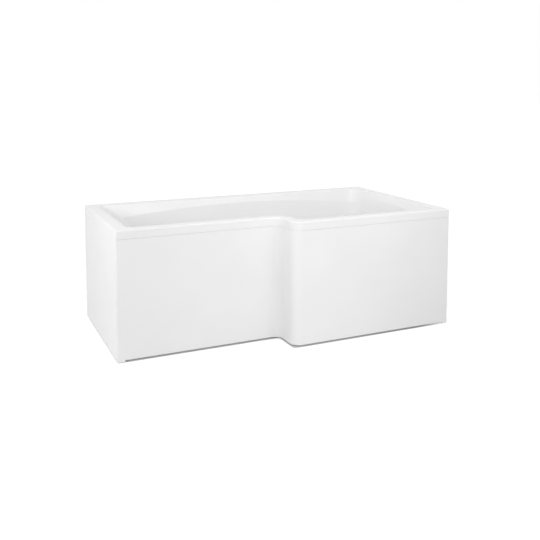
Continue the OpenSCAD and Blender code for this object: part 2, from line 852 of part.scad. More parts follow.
module overflow_elbow() {
  color(white_plastic)
  difference() {
    union() {
      difference() {
        union() {
          overflow_at(elbow_x) cylinder(d = face_d, h = elbow_flange_t);
          overflow_at(elbow_x) cylinder(d = overflow_d + 2 * elbow_wall, h = elbow_l);
          translate([spigot_x, mid_y, overflow_z - spigot_drop - spigot_l])
            cylinder(d = spigot_d, h = spigot_drop + spigot_l);
        }
        overflow_at(elbow_x - over) cylinder(d = overflow_d, h = elbow_l + over - elbow_wall);
        translate([spigot_x, mid_y, overflow_z - spigot_drop - spigot_l - over])
          cylinder(d = spigot_bore, h = spigot_drop + spigot_l + over);
      }
      overflow_at(elbow_x + spigot_in / 2) cylinder(d = elbow_post_d, h = elbow_l - spigot_in / 2);
    }
    overflow_at(elbow_x) cylinder(d = overflow_screw_d + 2 * slide_gap, h = spigot_in + sharp_r);
  }
}

// Centre line of the hose: down from the elbow, round a bend and along to the waste
hose_top = overflow_z - spigot_drop;
hose_end = waste_x + body_d / 2 + spigot_l;
hose_down = hose_top - inlet_z - hose_bend_r;
hose_arc = hose_bend_r * PI / 2;
hose_along = spigot_x - hose_bend_r - hose_end;
hose_l = hose_down + hose_arc + hose_along;

function hose_point(s) =
  s < hose_down ? [spigot_x, hose_top - s, 0]
  : s < hose_down + hose_arc ? let (a = (s - hose_down) / hose_arc * 90)
    [spigot_x - hose_bend_r * (1 - cos(a)), inlet_z + hose_bend_r * (1 - sin(a)), a]
  : [spigot_x - hose_bend_r - (s - hose_down - hose_arc), inlet_z, 90];

function hose_ring(s, r) =
  let (c = hose_point(s))
  [for (i = [0:hose_sides - 1]) let (a = i * 360 / hose_sides, u = r * cos(a))
    [c[0] + u * cos(c[2]), mid_y + r * sin(a), c[1] + u * sin(c[2])]];

module overflow_hose() {
  ribs = floor(hose_l / rib_pitch);
  bore_r = (spigot_d / 2 + slide_gap) / cos(180 / hose_sides);
  peak = hose_d / 2;
  valley = bore_r + hose_wall;
  outer = [for (i = [0:2 * ribs]) hose_ring(i / 2 / ribs * hose_l, i % 2 == 0 ? valley : peak)];
  inner = [for (i = [2 * ribs:-1:0]) hose_ring(i / 2 / ribs * hose_l, bore_r)];
  rings = concat(outer, inner);
  n = hose_sides;
  m = len(rings);
  color(white_plastic) polyhedron(
    points = [for (r = rings) each r],
    faces = [for (k = [0:m - 1], i = [0:n - 1]) let (l = (k + 1) % m, j = (i + 1) % n)
      each [[k * n + i, l * n + j, k * n + j], [k * n + i, l * n + i, l * n + j]]]);
}

module hose_nuts() {
  color(white_plastic) {
    translate([spigot_x, mid_y, hose_top - hose_nut_l + sharp_r])
      tube(hose_nut_d, hose_d + 2 * slide_gap, hose_nut_l);
    translate([hose_end - sharp_r, mid_y, inlet_z]) rotate([0, 90, 0])
      tube(hose_nut_d, hose_d + 2 * slide_gap, hose_nut_l);
  }
}

// Heights down the trap
socket_z = tube_z - (socket_l - socket_seat);
socket_top = socket_z + socket_l;
bend_z = socket_z - socket_l / 4;
outlet_z = bend_z + riser_l + bend_r;
outlet_y = mid_y + 3 * bend_r;

// Quarter and half bends of a round bar, in the plane across the bath
module bend(d, a0, a) {
  rotate([90, 0, 90]) rotate([0, 0, a0]) rotate_extrude(angle = a) translate([bend_r, 0]) circle(d = d);
}

module trap_run(d, extra) {
  translate([waste_x, mid_y, bend_z]) cylinder(d = d, h = socket_z - bend_z + extra);
  translate([waste_x, mid_y + bend_r, bend_z]) bend(d, 180, 180);
  translate([waste_x, mid_y + 2 * bend_r, bend_z]) cylinder(d = d, h = riser_l);
  translate([waste_x, mid_y + 3 * bend_r, bend_z + riser_l]) bend(d, 90, 90);
  translate([waste_x, outlet_y, outlet_z]) rotate([-90, 0, 0]) cylinder(d = d, h = outlet_seat + extra);
}

module trap_body() {
  color(white_plastic)
  difference() {
    union() {
      trap_run(pipe_d, 0);
      translate([waste_x, mid_y, socket_z - over]) cylinder(d = socket_d, h = socket_l + over);
      translate([waste_x, outlet_y + outlet_seat - over, outlet_z]) rotate([-90, 0, 0])
        cylinder(d = outlet_socket_d, h = outlet_socket_l + over);
    }
    trap_run(pipe_bore, over);
    translate([waste_x, mid_y, socket_z]) cylinder(d = outlet_tube_d + 2 * slide_gap, h = socket_l + over);
    translate([waste_x, outlet_y + outlet_seat, outlet_z]) rotate([-90, 0, 0])
      cylinder(d = outlet_d, h = outlet_socket_l + over);
  }
}

module trap_seal() {
  color(rubber) translate([waste_x, mid_y, socket_top])
    tube(socket_d, outlet_tube_d + 2 * slide_gap, trap_seal_t);
}

// Nut round a socket, with a lip that bears on the seal
module lip_nut(bore, hole, l) {
  difference() {
    cylinder(d = bore + 2 * nut_wall, h = l);
    translate([0, 0, -over]) cylinder(d = bore + 2 * slide_gap, h = l - nut_lip + over);
    translate([0, 0, -over]) cylinder(d = hole, h = l + 2 * over);
  }
}

module trap_nut() {
  color(white_plastic) translate([waste_x, mid_y, socket_top + trap_seal_t + nut_lip - trap_nut_l])
    lip_nut(socket_d, outlet_tube_d + 2 * near_gap, trap_nut_l);
}

outlet_end = outlet_y + outlet_seat + outlet_socket_l;

module outlet_seal() {
  color(rubber) translate([waste_x, outlet_end, outlet_z]) rotate([-90, 0, 0])
    tube(outlet_socket_d, outlet_d, trap_seal_t);
}

module outlet_nut() {
  color(white_plastic) translate([waste_x, outlet_end + trap_seal_t + nut_lip - trap_nut_l, outlet_z])
    rotate([-90, 0, 0]) lip_nut(outlet_socket_d, outlet_d, trap_nut_l);
}

bath_shell();
base_board();
bath_side_rim_batten();
shower_side_rim_batten();
end_panel_rim_batten();
back_rim_batten();
end_wall_rim_batten();
bath_end_bearer();
shower_end_bearer();
centre_foot_bracket();
bearer_screws();
foot_nuts();
wall_brackets();
wall_bracket_screws();
front_panel();
end_panel();
front_floor_batten();
shower_floor_batten();
end_floor_batten();
panel_clips();
panel_clip_screws();
waste_flange();
waste_seal();
waste_body_seal();
waste_body();
plug_cartridge();
overflow_face();
overflow_screw();
overflow_seal();
overflow_elbow();
overflow_hose();
hose_nuts();
trap_nut();
trap_seal();
trap_body();
outlet_nut();
outlet_seal();
plug();
plug_seal();
bath_front_stud();
bath_front_pad();
bath_back_stud();
bath_back_pad();
centre_stud();
centre_pad();
shower_front_stud();
shower_front_pad();
shower_back_stud();
shower_back_pad();
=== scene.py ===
import json
import math

import bmesh
import bpy
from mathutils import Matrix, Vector
from mathutils.bvhtree import BVHTree

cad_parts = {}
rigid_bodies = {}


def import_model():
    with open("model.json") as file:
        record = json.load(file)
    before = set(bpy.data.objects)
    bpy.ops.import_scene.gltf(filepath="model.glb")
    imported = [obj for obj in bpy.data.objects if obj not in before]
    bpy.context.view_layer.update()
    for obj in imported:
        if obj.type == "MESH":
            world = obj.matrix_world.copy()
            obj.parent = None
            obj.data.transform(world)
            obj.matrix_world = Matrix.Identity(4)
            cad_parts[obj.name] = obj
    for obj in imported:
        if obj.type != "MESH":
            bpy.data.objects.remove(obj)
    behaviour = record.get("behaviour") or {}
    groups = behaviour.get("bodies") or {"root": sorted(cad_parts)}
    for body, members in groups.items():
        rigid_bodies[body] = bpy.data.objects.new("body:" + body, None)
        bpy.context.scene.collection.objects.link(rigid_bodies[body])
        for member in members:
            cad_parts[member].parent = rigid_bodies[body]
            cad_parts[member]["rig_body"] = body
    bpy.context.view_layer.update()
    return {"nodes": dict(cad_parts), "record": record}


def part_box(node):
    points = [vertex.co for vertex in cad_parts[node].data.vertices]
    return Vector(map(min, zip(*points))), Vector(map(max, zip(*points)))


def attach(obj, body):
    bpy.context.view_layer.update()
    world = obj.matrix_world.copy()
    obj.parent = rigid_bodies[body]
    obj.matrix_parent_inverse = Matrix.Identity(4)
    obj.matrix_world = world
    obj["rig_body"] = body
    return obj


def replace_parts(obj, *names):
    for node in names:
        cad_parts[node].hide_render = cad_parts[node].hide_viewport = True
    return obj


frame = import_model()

MM = 0.001
NODES = frame["nodes"]

# Camera: the photograph's viewpoint, fitted to the lines of the rim and the panels
CAMERA_YAW = math.radians(24.470)
CAMERA_PITCH = math.radians(5.363)
CAMERA_PLACE = (-1.4436, -3.2407, 1.1800)
LENS = 48.319
SENSOR_WIDTH = 36
SHIFT_DOWN = -0.22


def add_camera():
    data = bpy.data.cameras.new("camera")
    data.lens = LENS
    data.sensor_width = SENSOR_WIDTH
    data.shift_y = SHIFT_DOWN
    camera = bpy.data.objects.new("camera", data)
    camera.location = CAMERA_PLACE
    camera.rotation_euler = (math.pi / 2 - CAMERA_PITCH, 0, -CAMERA_YAW)
    bpy.context.scene.collection.objects.link(camera)
    bpy.context.scene.camera = camera


# Shader helpers


class Finish:
    """A material in the making: its node tree and its Principled shader."""

    def __init__(self, name, **values):
        self.material = bpy.data.materials.new(name)
        self.material.use_nodes = True
        self.tree = self.material.node_tree
        self.shader = self.tree.nodes["Principled BSDF"]
        for socket, value in values.items():
            self.shader.inputs[socket.replace("_", " ")].default_value = value

    def node(self, kind, **values):
        made = self.tree.nodes.new(kind)
        for name, value in values.items():
            if name in made.inputs:
                made.inputs[name].default_value = value
            else:
                setattr(made, name, value)
        return made

    def link(self, source, target):
        self.tree.links.new(source, target)

    def place(self, scale=(1, 1, 1)):
        mapping = self.node("ShaderNodeMapping", Scale=scale)
        self.link(self.node("ShaderNodeTexCoord").outputs["Object"], mapping.inputs["Vector"])
        return mapping.outputs["Vector"]

    def noise(self, vector, scale, detail=3.0, roughness=0.5):
        made = self.node("ShaderNodeTexNoise", Scale=scale, Detail=detail, Roughness=roughness)
        self.link(vector, made.inputs["Vector"])
        return made.outputs["Fac"]

    def ramp(self, factor, stops):
        made = self.node("ShaderNodeValToRGB")
        elements = made.color_ramp.elements
        while len(elements) < len(stops):
            elements.new(0.5)
        for element, (position, color) in zip(elements, stops):
            element.position = position
            element.color = (*color, 1)
        self.link(factor, made.inputs["Fac"])
        return made.outputs["Color"]

    def span(self, factor, low, high):
        made = self.node("ShaderNodeMapRange")
        made.inputs["To Min"].default_value = low
        made.inputs["To Max"].default_value = high
        self.link(factor, made.inputs["Value"])
        return made.outputs["Result"]

    def step(self, value, limits, low, high):
        """Goes softly from low to high as the value goes through its limits."""
        made = self.span(value, low, high)
        made.node.interpolation_type = "SMOOTHSTEP"
        for name, limit in zip(("From Min", "From Max"), limits):
            made.node.inputs[name].default_value = limit
        return made

    def work_out(self, operation, first, second):
        """The result of an operation on two values, each a socket or a number."""
        made = self.node("ShaderNodeMath", operation=operation)
        for socket, value in zip(made.inputs, (first, second)):
            if isinstance(value, (int, float)):
                socket.default_value = value
            else:
                self.link(value, socket)
        return made.outputs["Value"]

    def bump(self, height, strength, distance):
        made = self.node("ShaderNodeBump", Strength=strength, Distance=distance)
        self.link(height, made.inputs["Height"])
        self.link(made.outputs["Normal"], self.shader.inputs["Normal"])

    def feed(self, socket, source):
        self.link(source, self.shader.inputs[socket])

    def effect(self, group, **values):
        made = self.node("ShaderNodeGroup", node_tree=group)
        for name, value in values.items():
            made.inputs[name.replace("_", " ")].default_value = value
        return made


# The dulling's finer noise, and the range of its mask that is spread over low to high
FINER_TIMES = 9
FINER_DETAIL = 6
MASK_RANGE = (0.12, 0.42)


def dulling_group():
    """Fine uneven dulling: a mask of two noises, by size and amount."""
    group = bpy.data.node_groups.new("dulling", "ShaderNodeTree")
    sockets = group.interface
    for name, default in (("Size", 30.0), ("Low", 0.1), ("High", 0.2)):
        made = sockets.new_socket(name, in_out="INPUT", socket_type="NodeSocketFloat")
        made.default_value = default
    for name in ("Roughness", "Mask"):
        sockets.new_socket(name, in_out="OUTPUT", socket_type="NodeSocketFloat")
    nodes, links = group.nodes, group.links
    start, end = nodes.new("NodeGroupInput"), nodes.new("NodeGroupOutput")
    place = nodes.new("ShaderNodeTexCoord")
    broad, fine = nodes.new("ShaderNodeTexNoise"), nodes.new("ShaderNodeTexNoise")
    fine.inputs["Detail"].default_value = FINER_DETAIL
    finer = nodes.new("ShaderNodeMath")
    finer.operation = "MULTIPLY"
    finer.inputs[1].default_value = FINER_TIMES
    mix = nodes.new("ShaderNodeMath")
    mix.operation = "MULTIPLY"
    spread = nodes.new("ShaderNodeMapRange")
    for name, limit in zip(("From Min", "From Max"), MASK_RANGE):
        spread.inputs[name].default_value = limit
    links.new(place.outputs["Object"], broad.inputs["Vector"])
    links.new(place.outputs["Object"], fine.inputs["Vector"])
    links.new(start.outputs["Size"], broad.inputs["Scale"])
    links.new(start.outputs["Size"], finer.inputs[0])
    links.new(finer.outputs[0], fine.inputs["Scale"])
    links.new(broad.outputs["Fac"], mix.inputs[0])
    links.new(fine.outputs["Fac"], mix.inputs[1])
    links.new(mix.outputs[0], spread.inputs["Value"])
    links.new(start.outputs["Low"], spread.inputs["To Min"])
    links.new(start.outputs["High"], spread.inputs["To Max"])
    links.new(spread.outputs["Result"], end.inputs["Roughness"])
    links.new(mix.outputs[0], end.inputs["Mask"])
    return group


DULLING = dulling_group()


def white_acrylic():
    """Glossy sheet acrylic: a faint waviness from forming and a little uneven dulling."""
    finish = Finish("white acrylic", IOR=1.49, Specular_IOR_Level=0.5)
    place = finish.place()
    tone = finish.noise(place, 4.0, 2.0)
    finish.feed("Base Color", finish.ramp(tone,
        [(0.3, (0.85, 0.85, 0.85)), (0.7, (0.87, 0.87, 0.87))]))
    finish.feed("Roughness", finish.span(finish.noise(place, 3.0, 1.0), 0.17, 0.27))
    finish.bump(finish.noise(place, 16.0, 1.0), 0.02, 0.002)
    return finish.material


def glass_laminate():
    """Sprayed glass fibre and resin on the hidden side: matted strands under a dull film."""
    finish = Finish("glass fibre laminate", IOR=1.5)
    place = finish.place()
    warp = finish.noise(place, 35.0, 4.0, 0.6)
    strands = finish.node("ShaderNodeTexVoronoi", feature="DISTANCE_TO_EDGE", Scale=160.0)
    finish.link(place, strands.inputs["Vector"])
    mat = finish.work_out("MULTIPLY", warp, finish.span(strands.outputs["Distance"], 0.7, 1.3))
    finish.feed("Base Color", finish.ramp(mat,
        [(0.25, (0.48, 0.47, 0.40)), (0.5, (0.60, 0.60, 0.53)), (0.8, (0.70, 0.70, 0.64))]))
    finish.feed("Roughness", finish.span(warp, 0.35, 0.75))
    finish.bump(mat, 0.7, 0.003)
    return finish.material


def softwood(name, along):
    """Planed softwood with its grain along one axis."""
    finish = Finish(name, IOR=1.5)
    stretch = [14, 14, 14]
    stretch[along] = 0.9
    place = finish.place(stretch)
    grain = finish.noise(place, 6.0, 8.0, 0.65)
    rings = finish.node("ShaderNodeTexWave", Scale=1.6, Distortion=7.0, Detail=3.0)
    rings.bands_direction = "Z"
    finish.link(place, rings.inputs["Vector"])
    figure = finish.work_out("ADD", finish.span(grain, 0, 0.7),
        finish.span(rings.outputs["Fac"], 0, 0.3))
    finish.feed("Base Color", finish.ramp(figure,
        [(0.2, (0.36, 0.20, 0.09)), (0.5, (0.56, 0.37, 0.19)), (0.85, (0.70, 0.52, 0.31))]))
    finish.feed("Roughness", finish.span(grain, 0.55, 0.8))
    finish.bump(figure, 0.4, 0.0006)
    return finish.material


def chipboard():
    """Pressed wood flakes of mixed tone."""
    finish = Finish("chipboard", IOR=1.5)
    place = finish.place()
    flakes = finish.node("ShaderNodeTexVoronoi", Scale=260.0, Randomness=1.0)
    finish.link(place, flakes.inputs["Vector"])
    tone = finish.node("ShaderNodeSeparateColor")
    finish.link(flakes.outputs["Color"], tone.inputs["Color"])
    finish.feed("Base Color", finish.ramp(tone.outputs["Red"],
        [(0.0, (0.22, 0.13, 0.06)), (0.45, (0.46, 0.31, 0.16)), (1.0, (0.62, 0.46, 0.27))]))
    finish.feed("Roughness", finish.span(finish.noise(place, 90.0), 0.7, 0.9))
    finish.bump(flakes.outputs["Distance"], 0.5, 0.0008)
    return finish.material


def zinc_plate():
    """Bright zinc on steel, with faint blotches of the plating."""
    finish = Finish("zinc plated steel", Metallic=1.0)
    dull = finish.effect(DULLING, Size=60.0, Low=0.28, High=0.48)
    finish.feed("Roughness", dull.outputs["Roughness"])
    finish.feed("Base Color", finish.ramp(dull.outputs["Mask"],
        [(0.1, (0.50, 0.52, 0.54)), (0.45, (0.64, 0.66, 0.68))]))
    finish.bump(finish.noise(finish.place(), 400.0), 0.12, 0.0002)
    return finish.material


def polished_chrome():
    finish = Finish("polished chrome", Metallic=1.0)
    dull = finish.effect(DULLING, Size=45.0, Low=0.04, High=0.12)
    finish.feed("Roughness", dull.outputs["Roughness"])
    finish.feed("Base Color", finish.ramp(dull.outputs["Mask"],
        [(0.1, (0.76, 0.77, 0.79)), (0.5, (0.82, 0.83, 0.85))]))
    return finish.material


def moulded_plastic(name, dark, light, rough):
    """Injection moulded plastic with a fine eroded texture."""
    finish = Finish(name, IOR=1.49)
    dull = finish.effect(DULLING, Size=40.0, Low=rough - 0.07, High=rough + 0.08)
    finish.feed("Roughness", dull.outputs["Roughness"])
    finish.feed("Base Color", finish.ramp(dull.outputs["Mask"], [(0.1, dark), (0.5, light)]))
    finish.bump(finish.noise(finish.place(), 900.0, 2.0), 0.1, 0.0002)
    return finish.material


def black_rubber():
    finish = Finish("black rubber", IOR=1.52)
    dull = finish.effect(DULLING, Size=70.0, Low=0.6, High=0.82)
    finish.feed("Roughness", dull.outputs["Roughness"])
    finish.feed("Base Color", finish.ramp(dull.outputs["Mask"],
        [(0.1, (0.012, 0.012, 0.013)), (0.5, (0.035, 0.035, 0.036))]))
    finish.bump(finish.noise(finish.place(), 700.0), 0.2, 0.0002)
    return finish.material


ACRYLIC = white_acrylic()
LAMINATE = glass_laminate()
WOOD_X = softwood("softwood along the bath", 0)
WOOD_Y = softwood("softwood across the bath", 1)
BOARD = chipboard()
ZINC = zinc_plate()
CHROME = polished_chrome()
WHITE_PLASTIC = moulded_plastic("white polypropylene", (0.70, 0.70, 0.69), (0.78, 0.78, 0.77), 0.38)
GREY_PLASTIC = moulded_plastic("grey nylon", (0.045, 0.048, 0.053), (0.075, 0.078, 0.085), 0.5)
RUBBER = black_rubber()

SLOT_FINISH = {
    "acrylic": ACRYLIC,
    "chipboard": BOARD,
    "zinc": ZINC,
    "chrome": CHROME,
    "white_plastic": WHITE_PLASTIC,
    "grey_plastic": GREY_PLASTIC,
    "rubber": RUBBER,
}
SLOT_OF = {part["node"]: part["material_slot"] for part in frame["record"]["subparts"]}


def runs_along_x(node):
    low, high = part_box(node)
    return high[0] - low[0] > high[1] - low[1]


def finish_of(node):
    if SLOT_OF[node] == "timber":
        return WOOD_X if runs_along_x(node) else WOOD_Y
    return SLOT_FINISH[SLOT_OF[node]]


# Pieces


NODE_WELD = 0.02 * MM
SHARP_ANGLE = 35
LARGE_FACE_WEIGHT = 80


def piece(name, bm, body, slot, *finishes):
    """Turns bm into a piece that rides on a body."""
    mesh = bpy.data.meshes.new(name)
    bm.to_mesh(mesh)
    bm.free()
    for finish in finishes:
        mesh.materials.append(finish)
    made = bpy.data.objects.new(name, mesh)
    bpy.context.scene.collection.objects.link(made)
    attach(made, body)
    return made


def body_of(node):
    return NODES[node]["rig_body"]


def merged(node):
    """A node's mesh with its loose triangles joined."""
    bm = bmesh.new()
    bm.from_mesh(NODES[node].data)
    bmesh.ops.remove_doubles(bm, verts=bm.verts, dist=NODE_WELD)
    return bm


def smooth(bm, angle=SHARP_ANGLE):
    """Shades faces smooth, but for edges that turn by more than angle."""
    for face in bm.faces:
        face.smooth = True
    for edge in bm.edges:
        edge.smooth = len(edge.link_faces) == 2 and edge.calc_face_angle(0) < math.radians(angle)


def weigh_normals(made):
    """Large faces keep their own normals and the rounds between them blend."""
    weighted = made.modifiers.new("weighted normals", "WEIGHTED_NORMAL")
    weighted.keep_sharp = True
    weighted.weight = LARGE_FACE_WEIGHT


RIM_Z = 570 * MM
CREASE_DEPTH = 33 * MM
CREASE_SAG = 57 * MM
HALF_LENGTH = 800 * MM
STEP_X = -45 * MM
BATH_MIDDLE_Y = 75 * MM
BATH_HALF = 284 * MM
SHOWER_HALF = 359 * MM
CREASE_NEAR = 0.3 * MM
CUT_STEP = 50 * MM
CUT_WELD = 0.01 * MM
# The skirt's back faces the tub within its reach, and its lower edge lies in a level band
SKIRT_REACH = 150 * MM
SKIRT_BACK_Z = 500 * MM
SKIRT_EDGE_Z = (520 * MM, 540 * MM)
# A face's normal along Z: at most this on an upright face, and below this on a level underside
UPRIGHT = 0.02
LEVEL_UNDERSIDE = -0.9


def on_crease(vert):
    """True on the crease, which is highest along the middles and drops towards the corners."""
    x, y, z = vert.co
    across = (y - BATH_MIDDLE_Y) / BATH_HALF if x < STEP_X else y / SHOWER_HALF
    level = RIM_Z - CREASE_DEPTH - CREASE_SAG * (x / HALF_LENGTH * across) ** 2
    return abs(z - level) < CREASE_NEAR


def cut_across(bm):
    """Cuts long faces at even steps along and across the bath, so that they shade evenly."""
    low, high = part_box("bath_shell")
    for axis, normal in ((0, (1, 0, 0)), (1, (0, 1, 0))):
        for i in range(1, int((high[axis] - low[axis]) / CUT_STEP)):
            place = [0, 0, 0]
            place[axis] = low[axis] + i * CUT_STEP
            bmesh.ops.bisect_plane(bm, geom=bm.verts[:] + bm.edges[:] + bm.faces[:],
                dist=CUT_WELD, plane_co=place, plane_no=normal)


def on_hidden_side(face, tree):
    """True on the back of the tub and of its skirt, but not on the skirt's lower edge."""
    centre = face.calc_center_median()
    if abs(face.normal.z) <= UPRIGHT:
        faced = tree.ray_cast(centre + face.normal * MM, face.normal, SKIRT_REACH)[0]
        return faced is not None and centre.z > SKIRT_BACK_Z
    low, high = SKIRT_EDGE_Z
    under_skirt = face.normal.z < LEVEL_UNDERSIDE and low < centre.z < high
    return face.normal.z < 0 and not under_skirt


def tub():
    """The moulded tub: acrylic towards the bather and round the rim, laminate behind."""
    bm = merged("bath_shell")
    bm.faces.ensure_lookup_table()
    bm.normal_update()
    tree = BVHTree.FromBMesh(bm)
    smooth(bm)
    for edge in bm.edges:
        a, b = edge.verts
        if on_crease(a) and on_crease(b):
            edge.smooth = False
    cut_across(bm)
    for face in bm.faces:
        face.material_index = int(on_hidden_side(face, tree))
    made = piece("tub", bm, "bath", "acrylic", ACRYLIC, LAMINATE)
    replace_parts(made, "bath_shell")
    weigh_normals(made)


FLAT_ANGLE = 0.6


def eased(node, width, segments=2):
    """A node with its edges rounded over."""
    bm = merged(node)
    bmesh.ops.dissolve_limit(bm, angle_limit=math.radians(FLAT_ANGLE), verts=bm.verts,
        edges=bm.edges, delimit={"MATERIAL"})
    smooth(bm)
    made = piece(node + "_eased", bm, body_of(node), SLOT_OF[node], finish_of(node))
    bevel = made.modifiers.new("eased edges", "BEVEL")
    bevel.width = width
    bevel.segments = segments
    bevel.limit_method = "ANGLE"
    bevel.angle_limit = math.radians(SHARP_ANGLE)
    bevel.harden_normals = True
    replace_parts(made, node)


SPUN_WELD = 0.01 * MM


def spun(points, steps):
    """A turned form about Z, whose profile of radii and heights closes on the axis or as a ring."""
    bm = bmesh.new()
    verts = [bm.verts.new((r, 0, z)) for r, z in points]
    profile = [bm.edges.new(pair) for pair in zip(verts, verts[1:])] + verts
    bmesh.ops.spin(bm, geom=profile, axis=(0, 0, 1), cent=(0, 0, 0), angle=math.tau, steps=steps,
        use_merge=True)
    bmesh.ops.remove_doubles(bm, verts=bm.verts, dist=SPUN_WELD)
    bmesh.ops.recalc_face_normals(bm, faces=bm.faces)
    return bm


STUD_R = 5 * MM
THREAD_PITCH = 1.5 * MM
THREAD_DEPTH = 0.8 * MM
# Where its flat crest and its flank end, as shares of the pitch
CREST_SHARE = 0.15
FLANK_SHARE = 0.5
THREAD_STEPS = 24
THREAD_ANGLE = 25


def threaded_stud(node):
    """A stud with its thread as close rings, and its ends at the root of the thread."""
    low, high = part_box(node)
    centre = ((low[0] + high[0]) / 2, (low[1] + high[1]) / 2)
    root = STUD_R - THREAD_DEPTH
    points = [(0, low[2]), (root, low[2])]
    z = low[2] + THREAD_PITCH / 2
    while z + THREAD_PITCH < high[2]:
        points += [(STUD_R, z), (STUD_R, z + THREAD_PITCH * CREST_SHARE),
            (root, z + THREAD_PITCH * FLANK_SHARE)]
        z += THREAD_PITCH
    points += [(root, high[2]), (0, high[2])]
    bm = spun(points, THREAD_STEPS)
    bmesh.ops.translate(bm, verts=bm.verts, vec=(*centre, 0))
    smooth(bm, THREAD_ANGLE)
    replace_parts(piece(node + "_threaded", bm, body_of(node), "zinc", ZINC), node)


HOSE_BORE_R = 11.2 * MM
HOSE_VALLEY_R = 13.1 * MM
HOSE_SHOULDER_R = 14.6 * MM
HOSE_PEAK_R = 15 * MM
HOSE_BEND_R = 60 * MM
HOSE_RIBS = 82
HOSE_STEPS = 28
HOSE_ANGLE = 50
# One rib: the share of its pitch and the radius of each point
RIB = ((0.2, HOSE_VALLEY_R), (0.3, HOSE_SHOULDER_R), (0.45, HOSE_PEAK_R),
    (0.6, HOSE_SHOULDER_R), (0.7, HOSE_VALLEY_R))


def hose_profile(length):
    """The hose laid straight: its ribbed outside, and its bore on the way back."""
    pitch = length / HOSE_RIBS
    points = [(HOSE_BORE_R, 0), (HOSE_VALLEY_R, 0)]
    for i in range(HOSE_RIBS):
        points += [(radius, (i + share) * pitch) for share, radius in RIB]
    points += [(HOSE_VALLEY_R, length), (HOSE_BORE_R, length)]
    return points + [(HOSE_BORE_R, i * pitch) for i in range(HOSE_RIBS - 1, -1, -1)]


def ribbed_hose():
    """The overflow hose with its full ribs, down, round the bend and along to the waste."""
    low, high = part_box("overflow_hose")
    top = high[2]
    x_down = high[0] - HOSE_PEAK_R
    z_along = low[2] + HOSE_PEAK_R
    middle_y = (low[1] + high[1]) / 2
    down = top - z_along - HOSE_BEND_R
    curve = HOSE_BEND_R * math.pi / 2
    along = x_down - HOSE_BEND_R - low[0]
    bm = spun(hose_profile(down + curve + along), HOSE_STEPS)
    for vert in bm.verts:
        s = vert.co.z
        across, side = vert.co.x, vert.co.y
        if s < down:
            x, z, turn = x_down, top - s, 0
        elif s < down + curve:
            turn = (s - down) / HOSE_BEND_R
            x = x_down - HOSE_BEND_R * (1 - math.cos(turn))
            z = z_along + HOSE_BEND_R * (1 - math.sin(turn))
        else:
            x, z, turn = x_down - HOSE_BEND_R - (s - down - curve), z_along, math.pi / 2
        vert.co = (x + across * math.cos(turn), middle_y + side, z + across * math.sin(turn))
    bmesh.ops.recalc_face_normals(bm, faces=bm.faces)
    smooth(bm, HOSE_ANGLE)
    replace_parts(piece("ribbed_hose", bm, "bath", "white_plastic", WHITE_PLASTIC), "overflow_hose")


# Studio


def sees_background(tree):
    """1 for a ray from the camera or off metal or through glass, which sees a white background."""
    path = tree.nodes.new("ShaderNodeLightPath")
    seen = path.outputs["Is Camera Ray"]
    for name in ("Is Glossy Ray", "Is Transmission Ray"):
        either = tree.nodes.new("ShaderNodeMath")
        either.operation = "MAXIMUM"
        tree.links.new(seen, either.inputs[0])
        tree.links.new(path.outputs[name], either.inputs[1])
        seen = either.outputs["Value"]
    return seen


FLOOR_HALF = 30
FLOOR_DROP = 0.5 * MM
# The floor's tone, and the tone and middle of darker patches at both ends of the bath
FLOOR_TONE = 0.62
PATCHES = ((0.43, (0.98, -0.72, 0)), (0.46, (-1.05, 0.70, 0)))
PATCH_SPREAD = (0.3, 0.9)
FLOOR_WHITE = 1.17
# Painted shade below the bath: there the floor's lift to white is held back to this, so the bath's
# rendered shadow shows through; the painted plan of this shade ends at its two fronts, and fades
# out at its open end and open back
LIFT_IN_SHADE_BELOW_BATH = 0.12
NARROW_FRONT_Y = -275 * MM
WIDE_FRONT_Y = -425 * MM
OPEN_END = (0.62, 0.86)
OPEN_BACK = (0.26, 0.48)


